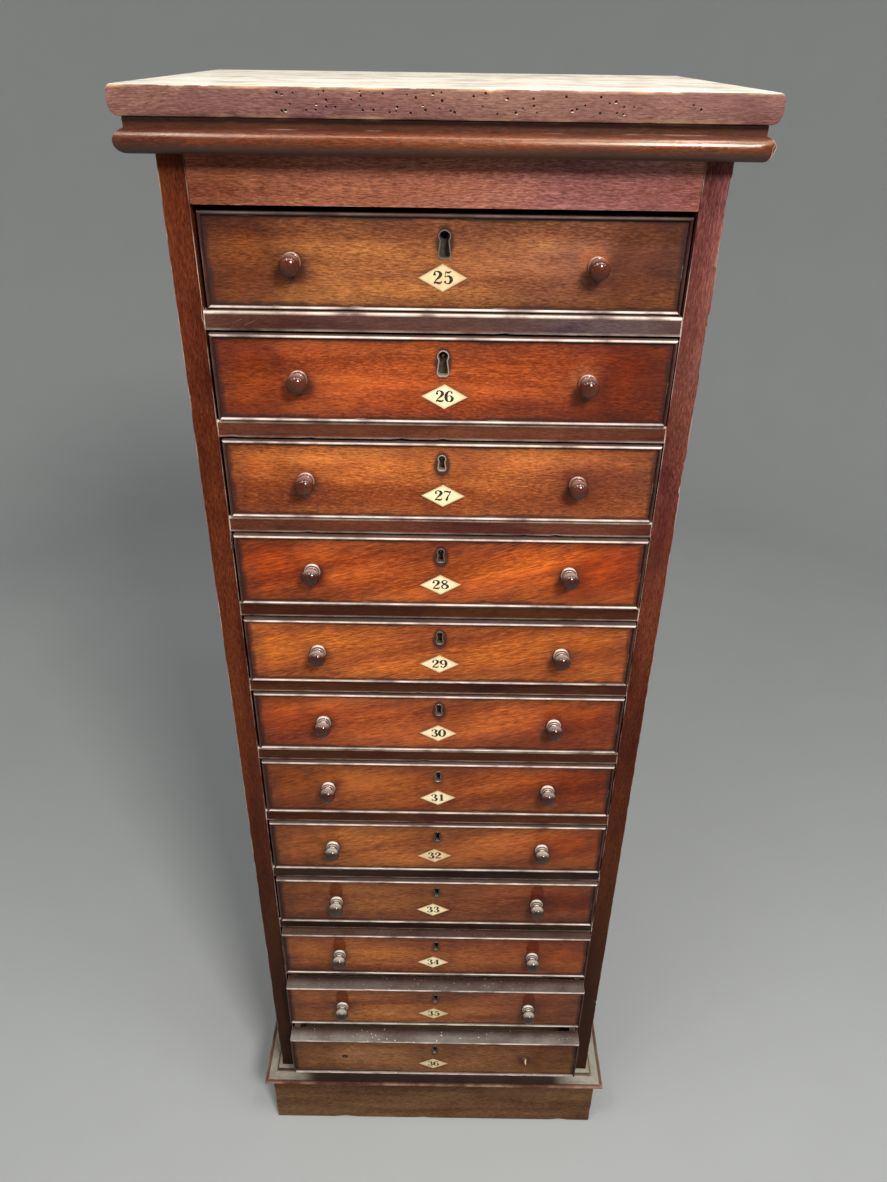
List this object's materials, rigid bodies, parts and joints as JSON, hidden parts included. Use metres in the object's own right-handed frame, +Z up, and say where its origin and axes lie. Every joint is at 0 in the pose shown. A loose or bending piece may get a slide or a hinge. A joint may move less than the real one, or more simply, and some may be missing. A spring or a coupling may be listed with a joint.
{
  "type": "filing chest",
  "caption": "Tall narrow wooden filing chest: a stack of shallow numbered drawers with turned knobs, between a moulded cornice and a plinth.",
  "frame": {"origin": "on the floor, under the middle of the whole piece's bounding box", "axes": "+Z up, -Y towards the drawer fronts, +X to the right of someone who faces them"},
  "size_m": [0.5478, 0.4156, 1.5261],
  "materials": {
    "side_mahogany": "worn wax polish",
    "rail_mahogany": "worn wax polish",
    "drawer_mahogany": "polished, grime inside the beads",
    "knob_mahogany": "turned and polished",
    "top_mahogany": "dry and dusty, bleached on top",
    "moulding_mahogany": "worn polish, dusty upper faces",
    "plinth_mahogany": "dull and scuffed",
    "carcass_pine": "bare planed softwood",
    "aged_brass": "tarnished",
    "paper_label": "yellowed printed paper under varnish"
  },
  "bodies": {
    "carcass": {"top_board": "top_mahogany", "carcass_top": "carcass_pine", "cornice_moulding": "moulding_mahogany", "frieze_rail": "rail_mahogany", "side_left": "side_mahogany", "side_right": "side_mahogany", "back_panel": "carcass_pine", "divider_25_26": "rail_mahogany", "divider_26_27": "rail_mahogany", "divider_27_28": "rail_mahogany", "divider_28_29": "rail_mahogany", "divider_29_30": "rail_mahogany", "divider_30_31": "rail_mahogany", "divider_31_32": "rail_mahogany", "divider_32_33": "rail_mahogany", "divider_33_34": "rail_mahogany", "divider_34_35": "rail_mahogany", "divider_35_36": "rail_mahogany", "base_rail": "rail_mahogany", "bottom_board": "carcass_pine", "plinth_front": "plinth_mahogany", "plinth_left": "plinth_mahogany", "plinth_right": "plinth_mahogany", "plinth_moulding": "moulding_mahogany"},
    "drawer_25_box": {"drawer_25": "drawer_mahogany", "knob_25_left": "knob_mahogany", "knob_25_right": "knob_mahogany"},
    "drawer_26_box": {"drawer_26": "drawer_mahogany", "knob_26_left": "knob_mahogany", "knob_26_right": "knob_mahogany"},
    "drawer_27_box": {"drawer_27": "drawer_mahogany", "knob_27_left": "knob_mahogany", "knob_27_right": "knob_mahogany"},
    "drawer_28_box": {"drawer_28": "drawer_mahogany", "knob_28_left": "knob_mahogany", "knob_28_right": "knob_mahogany"},
    "drawer_29_box": {"drawer_29": "drawer_mahogany", "knob_29_left": "knob_mahogany", "knob_29_right": "knob_mahogany"},
    "drawer_30_box": {"drawer_30": "drawer_mahogany", "knob_30_left": "knob_mahogany", "knob_30_right": "knob_mahogany"},
    "drawer_31_box": {"drawer_31": "drawer_mahogany", "knob_31_left": "knob_mahogany", "knob_31_right": "knob_mahogany"},
    "drawer_32_box": {"drawer_32": "drawer_mahogany", "knob_32_left": "knob_mahogany", "knob_32_right": "knob_mahogany"},
    "drawer_33_box": {"drawer_33": "drawer_mahogany", "knob_33_left": "knob_mahogany", "knob_33_right": "knob_mahogany"},
    "drawer_34_box": {"drawer_34": "drawer_mahogany", "knob_34_left": "knob_mahogany", "knob_34_right": "knob_mahogany"},
    "drawer_35_box": {"drawer_35": "drawer_mahogany", "knob_35_left": "knob_mahogany", "knob_35_right": "knob_mahogany"},
    "drawer_36_box": {"drawer_36": "drawer_mahogany", "knob_stub_36": "knob_mahogany"}
  },
  "joints": [
    {"name": "drawer_25_slide", "type": "slide", "parent": "carcass", "child": "drawer_25_box", "axis": [0, -1, 0], "range_m": [0, 0.28]},
    {"name": "drawer_26_slide", "type": "slide", "parent": "carcass", "child": "drawer_26_box", "axis": [0, -1, 0], "range_m": [-0.00138, 0.27862]},
    {"name": "drawer_27_slide", "type": "slide", "parent": "carcass", "child": "drawer_27_box", "axis": [0, -1, 0], "range_m": [-0.00069, 0.27931]},
    {"name": "drawer_28_slide", "type": "slide", "parent": "carcass", "child": "drawer_28_box", "axis": [0, -1, 0], "range_m": [-0.00242, 0.27759]},
    {"name": "drawer_29_slide", "type": "slide", "parent": "carcass", "child": "drawer_29_box", "axis": [0, -1, 0], "range_m": [-0.00311, 0.2769]},
    {"name": "drawer_30_slide", "type": "slide", "parent": "carcass", "child": "drawer_30_box", "axis": [0, -1, 0], "range_m": [0, 0.28]},
    {"name": "drawer_31_slide", "type": "slide", "parent": "carcass", "child": "drawer_31_box", "axis": [0, -1, 0], "range_m": [-0.00104, 0.27897]},
    {"name": "drawer_32_slide", "type": "slide", "parent": "carcass", "child": "drawer_32_box", "axis": [0, -1, 0], "range_m": [-0.00069, 0.27931]},
    {"name": "drawer_33_slide", "type": "slide", "parent": "carcass", "child": "drawer_33_box", "axis": [0, -1, 0], "range_m": [-0.00242, 0.27759]},
    {"name": "drawer_34_slide", "type": "slide", "parent": "carcass", "child": "drawer_34_box", "axis": [0, -1, 0], "range_m": [-0.00897, 0.27103]},
    {"name": "drawer_35_slide", "type": "slide", "parent": "carcass", "child": "drawer_35_box", "axis": [0, -1, 0], "range_m": [-0.02001, 0.25999]},
    {"name": "drawer_36_slide", "type": "slide", "parent": "carcass", "child": "drawer_36_box", "axis": [0, -1, 0], "range_m": [-0.0345, 0.2455]}
  ]
}
